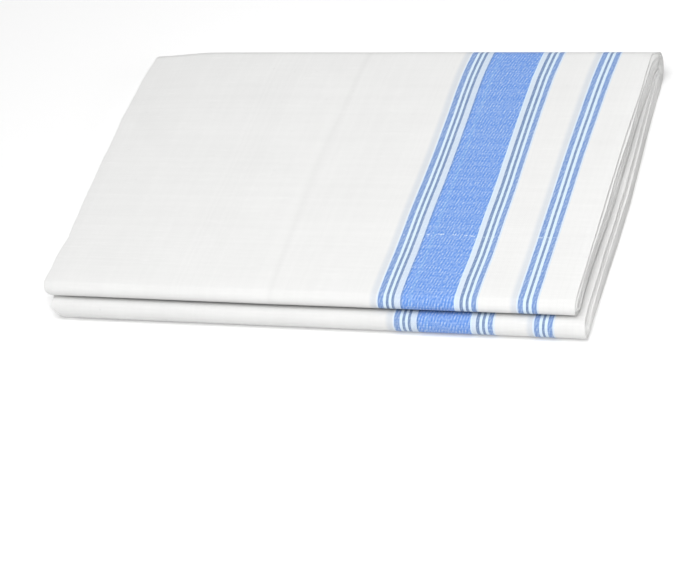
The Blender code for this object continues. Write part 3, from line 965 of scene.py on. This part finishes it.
def thick_weft_in(tree, cloth, tone):
    """One thick, lumpy weft that sways a little on its way across the cloth."""
    along = add_node(tree, "ShaderNodeSeparateXYZ", {0: cloth}).outputs[1]
    off = calculate(tree, "SUBTRACT", along, SLUB_LINE + SLUB_SWAY / 2)
    off = calculate(tree, "ABSOLUTE", add_scaled(tree, tone, SLUB_SWAY, off))
    line = rescale(tree, off, (SLUB_HALF_WIDTH, 0.0), kind="SMOOTHSTEP")
    lumps = rescale(tree, soft_noise(tree, cloth, *LUMP_NOISE), SLUB_LUMPS)
    return calculate(tree, "MULTIPLY", line, lumps)


def yarn_flaws_group():
    """Thick places in the weft, small grey specks and slow changes of tone."""
    tree, given, put = new_group("yarn_flaws", [("Cloth", "NodeSocketVector", None)],
                                 ["Slubs", "Specks", "Tone", "Thick Weft"])
    cloth = given["Cloth"]
    tone = soft_noise(tree, cloth, *TONE_NOISE)
    for label, value in (("Slubs", slubs_in(tree, cloth)), ("Specks", specks_in(tree, cloth)),
                         ("Tone", tone), ("Thick Weft", thick_weft_in(tree, cloth, tone))):
        tree.links.new(value, put[label])
    return tree


# ---- the cotton ----

def band_ramp(tree, place, bands, low, high):
    """Colours across the cloth, in crisp bands."""
    ramp = add_node(tree, "ShaderNodeValToRGB", {0: rescale(tree, place, (low, high))})
    points = ramp.color_ramp
    points.interpolation = "CONSTANT"
    points.elements[0].color = PLAIN
    points.elements.remove(points.elements[1])
    for start, colour in bands:
        points.elements.new((start * FOLD_WIDTH - low) / (high - low)).color = colour
    return ramp.outputs[0]


def dyed_share(tree, colour):
    """How much white weft a warp of this colour can show."""
    red, _, blue = add_node(tree, "ShaderNodeSeparateColor", {0: colour}).outputs
    dyed = rescale(tree, red, DYED_RED)
    return calculate(tree, "MULTIPLY", dyed, rescale(tree, blue, DEEP_BLUE, (DEEP_KEEPS, 1.0)))


def border_colours(tree, across, weave, flaws):
    """White cotton with its two blue borders and the faint grey-blue band beside them."""
    wide = band_ramp(tree, across, WIDE_BORDER, *WIDE_SPAN)
    narrow = band_ramp(tree, across, NARROW_BORDER, *NARROW_SPAN)
    colour = mix_colours(tree, calculate(tree, "GREATER_THAN", across, SPANS_MEET), wide, narrow)
    shows = add_scaled(tree, flaws["Thick Weft"], THICK_WEFT_SHOWS, weave["Weft Shows"])
    shows = calculate(tree, "MULTIPLY", shows, dyed_share(tree, colour))
    colour = mix_colours(tree, shows, colour, WEFT)
    for start, full, end in GHOSTS:
        ghost = rescale(tree, across, (start * FOLD_WIDTH, full * FOLD_WIDTH),
                        kind="SMOOTHSTEP")
        inside = calculate(tree, "LESS_THAN", across, end * FOLD_WIDTH)
        colour = mix_colours(tree, calculate(tree, "MULTIPLY", ghost, inside), colour, GHOST)
    return colour


def cloth_brightness(tree, weave, flaws, bordered):
    """Light and dark of the threads and their flaws, times the painted shade of the folds."""
    light = add_scaled(tree, weave["Warp Up"], WARP_UP_LIGHT, BARE_LIGHT)
    for value, share in ((weave["Warp Tone"], THREAD_LIGHT),
                         (weave["Weft Tone"], THREAD_LIGHT),
                         (flaws["Tone"], TONE_LIGHT)):
        light = add_scaled(tree, about_middle(tree, value), share, light)
    if bordered:
        light = add_scaled(tree, flaws["Thick Weft"], THICK_WEFT_LIGHT, light)
    light = add_scaled(tree, flaws["Specks"], SPECK_LIGHT, light)
    light = add_scaled(tree, flaws["Slubs"], SLUB_LIGHT, light)
    # The painted shade stored on the mesh darkens the colour.
    painted_shade = add_node(tree, "ShaderNodeAttribute", attribute_name="painted_shade").outputs["Fac"]
    return calculate(tree, "MULTIPLY", light, painted_shade)


def place_group(tree, group, values):
    """Places a shader node group in a material and returns its outputs."""
    return add_node(tree, "ShaderNodeGroup", node_tree=group, inputs=values).outputs


def cotton(name, weave_group, flaws_group, bordered):
    """White cotton, with the woven border where it has one."""
    made, shader = new_material(name, COTTON_FINISH)
    tree = made.node_tree
    cloth = add_node(tree, "ShaderNodeUVMap", uv_map="cloth").outputs[0]
    weave = place_group(tree, weave_group, {"Cloth": cloth, "Warp Pitch": WARP_PITCH,
                                            "Weft Pitch": WEFT_PITCH})
    flaws = place_group(tree, flaws_group, {"Cloth": cloth})
    colour = PLAIN
    if bordered:
        across = add_node(tree, "ShaderNodeSeparateXYZ", {0: cloth}).outputs[0]
        colour = border_colours(tree, across, weave, flaws)
    light = cloth_brightness(tree, weave, flaws, bordered)
    grey = add_node(tree, "ShaderNodeCombineColor", {0: light, 1: light, 2: light}).outputs[0]
    final = mix_colours(tree, 1.0, colour, grey, "MULTIPLY")
    tree.links.new(final, shader.inputs["Base Color"])
    bumps = add_scaled(tree, flaws["Slubs"], SLUB_HEIGHT, weave["Height"])
    bump = add_node(tree, "ShaderNodeBump", {"Strength": BUMP_STRENGTH,
                                             "Distance": BUMP_HEIGHT, "Height": bumps})
    tree.links.new(bump.outputs[0], shader.inputs["Normal"])
    return made


weave_group = plain_weave_group()
flaws_group = yarn_flaws_group()
bordered_cotton = cotton("bordered_cotton", weave_group, flaws_group, True)
layered_cotton = cotton("layered_cotton", weave_group, flaws_group, False)

# ---- the cloth ----
outer = closed_turn(0, SHOWN_COLUMNS)
outer_turn = cloth_mesh("outer_turn", [(*outer, True)], bordered_cotton)
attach(outer_turn, "root")
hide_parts("top_stretch", "back_fold", "under_stretch")

second = closed_turn(1, HIDDEN_COLUMNS)
second_turn = cloth_mesh("second_turn", [(*second, True)], layered_cotton)
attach(second_turn, "root")
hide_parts("second_turn_upper", "second_turn_lower")

inner = [closed_turn(turn, HIDDEN_COLUMNS) for turn in range(2, TURNS)]
middle = middle_turn()
inner_turns = cloth_mesh("inner_turns", [(*turn, True) for turn in inner] + [(*middle, False)],
                         layered_cotton)
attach(inner_turns, "root")
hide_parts("hidden_layers")

# ---- the studio ----

def pale_floor():
    """A wide floor just under the packet."""
    place = (0.0, 0.0, CAD_LOW.z - FLOOR_DROP)
    bpy.ops.mesh.primitive_plane_add(size=FLOOR_SIZE, location=place)
    made = bpy.context.object
    made.name = "floor"
    made.data.materials.append(new_material("pale_floor", FLOOR_FINISH)[0])
    return made


def soft_light(name, place, size, power):
    """A square softbox that faces the packet."""
    lamp = bpy.data.lights.new(name, "AREA")
    lamp.shape = "SQUARE"
    lamp.size = size
    lamp.energy = power
    item = bpy.data.objects.new(name, lamp)
    bpy.context.scene.collection.objects.link(item)
    item.location = place
    item.rotation_euler = (LIGHTS_AIM - Vector(place)).to_track_quat("-Z", "Y").to_euler()


def white_world():
    """Even white light from all round."""
    made = bpy.data.worlds.new("studio_white")
    made.use_nodes = True
    background = made.node_tree.nodes["Background"]
    background.inputs["Color"].default_value = WHITE
    background.inputs["Strength"].default_value = WORLD_LIGHT
    return made


def studio_camera():
    """The camera at its place, turned by its pan, tilt and roll."""
    lens = bpy.data.cameras.new("camera")
    lens.lens = FOCAL_LENGTH
    lens.sensor_width = SENSOR_WIDTH
    lens.clip_start = CLIP_START
    made = bpy.data.objects.new("camera", lens)
    bpy.context.scene.collection.objects.link(made)
    made.matrix_world = (Matrix.Translation(CAMERA_PLACE) @ Matrix.Rotation(CAMERA_PAN, 4, "Z")
                         @ Matrix.Rotation(math.pi / 2 - CAMERA_TILT, 4, "X")
                         @ Matrix.Rotation(CAMERA_ROLL, 4, "Z"))
    return made


floor = pale_floor()
for name, place, size, power in SOFTBOXES:
    soft_light(name, place, size, power)
bpy.context.scene.world = white_world()
bpy.context.scene.camera = studio_camera()
bpy.context.scene.view_settings.view_transform = "Standard"
